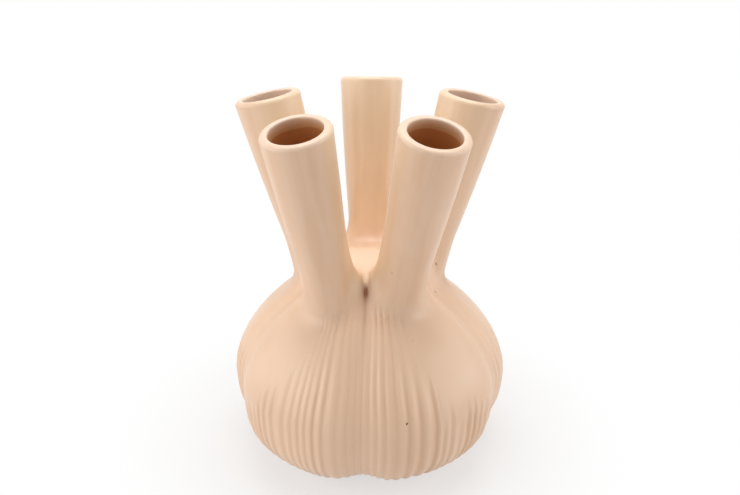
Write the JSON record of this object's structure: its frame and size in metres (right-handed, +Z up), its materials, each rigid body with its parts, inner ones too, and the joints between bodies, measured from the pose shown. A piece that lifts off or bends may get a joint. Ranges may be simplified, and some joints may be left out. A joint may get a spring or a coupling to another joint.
{
  "type": "five-neck vase",
  "caption": "Garlic-shaped ceramic vase: a lobed, finely ribbed bulb with leaning tubular necks in a ring, each open to the shared chamber, in satin cream glaze.",
  "frame": {"origin": "centre of the underside of the base, on the vase's axis", "axes": "+Z up, +Y towards the back neck, +X to the right seen from the front"},
  "size_m": [0.1912, 0.1906, 0.2504],
  "materials": {
    "glaze": "satin cream-peach glaze, fine speckle and a few pinholes",
    "bare_clay": "bare fired clay, matt"
  },
  "bodies": {
    "root": {"bulb": "glaze", "base": "bare_clay", "neck_back": "glaze", "neck_left": "glaze", "neck_front_left": "glaze", "neck_front_right": "glaze", "neck_right": "glaze"}
  },
  "joints": []
}
